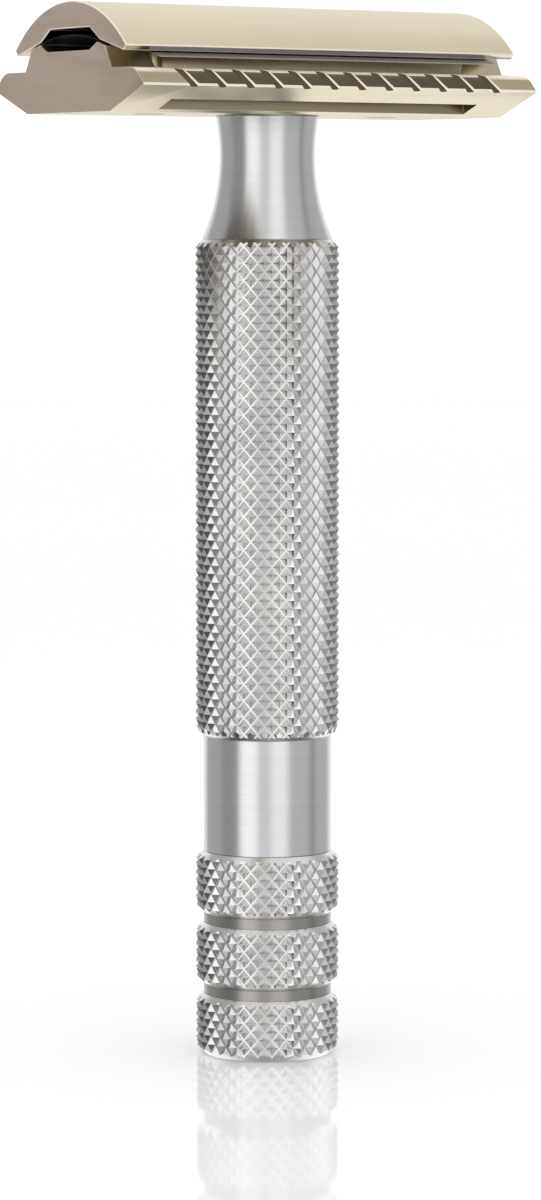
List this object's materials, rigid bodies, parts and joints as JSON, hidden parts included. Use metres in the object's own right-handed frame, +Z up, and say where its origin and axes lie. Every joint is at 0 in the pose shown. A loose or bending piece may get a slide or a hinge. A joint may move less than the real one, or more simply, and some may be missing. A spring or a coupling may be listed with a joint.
{
  "type": "safety razor",
  "caption": "Three-piece double-edge safety razor: curved cap and flat-winged base plate clamp a blade on a knurled metal handle with ringed foot.",
  "frame": {"origin": "centre of the handle's base face, on the handle's axis", "axes": "+Z up the handle to the cap; X along the blade; Y across the head, one cutting edge on each side"},
  "size_m": [0.0434, 0.0256, 0.0983],
  "materials": {
    "satin_nickel": "warm satin nickel plating, finely brushed lengthwise",
    "satin_steel": "satin stainless steel with fine turning marks",
    "knurled_steel": "cut diamond knurl, bright blasted stainless steel",
    "turned_steel": "machined steel with thread or turning marks",
    "blade_steel": "thin hardened strip steel with honed bright edges"
  },
  "bodies": {
    "handle": {"neck": "satin_steel", "grip_sleeve": "knurled_steel", "smooth_collar": "satin_steel", "upper_ring": "knurled_steel", "upper_spacer": "satin_steel", "middle_ring": "knurled_steel", "lower_spacer": "satin_steel", "lower_ring": "knurled_steel", "tie_rod": "turned_steel", "base_nut": "turned_steel"},
    "plate": {"base_plate": "satin_nickel"},
    "cap": {"top_cap": "satin_nickel", "cap_stud": "turned_steel", "locating_pins": "turned_steel"},
    "blade": {"razor_blade": "blade_steel"}
  },
  "joints": [
    {"name": "plate_turn", "type": "hinge", "parent": "handle", "child": "plate", "pos_m": [0, 0, 0.0882], "axis": [0, 0, 1], "range_deg": [0, 2700]},
    {"name": "cap_lift", "type": "slide", "parent": "plate", "child": "cap", "axis": [0, 0, 1], "range_m": [0, 0.006]},
    {"name": "blade_lift", "type": "slide", "parent": "plate", "child": "blade", "axis": [0, 0, 1], "range_m": [0, 0.003]}
  ],
  "couplings": [
    {"joint": "cap_lift", "follows": "plate_turn", "m_per_rad": 0.00012732},
    {"joint": "blade_lift", "follows": "plate_turn", "m_per_rad": 0.000063661}
  ]
}
